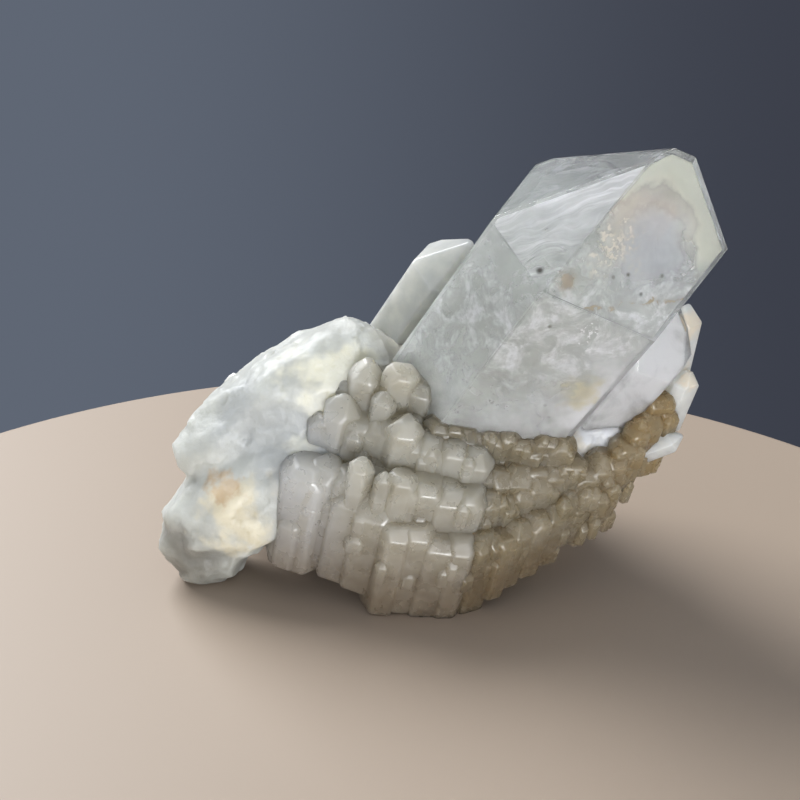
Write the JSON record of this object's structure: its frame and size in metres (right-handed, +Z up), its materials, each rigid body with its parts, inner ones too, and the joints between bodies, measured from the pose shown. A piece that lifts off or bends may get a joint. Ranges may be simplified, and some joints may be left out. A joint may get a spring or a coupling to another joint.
{
  "type": "clear quartz cluster",
  "caption": "Natural quartz cluster: a large clear leaning point rising from a crust of small candle-like crystals and a fractured milky base.",
  "frame": {"origin": "middle of the bounding box's length and depth, on the surface that the cluster rests on", "axes": "+X along the longest extent, from the milky base towards the large tip; +Y away from the crusted front; +Z up"},
  "size_m": [0.105, 0.0638, 0.0896],
  "materials": {
    "quartz": "natural crystal faces, clear at the large tip and milky to iron-stained towards the base"
  },
  "bodies": {
    "root": {"quartz_cluster": "quartz"}
  },
  "joints": []
}
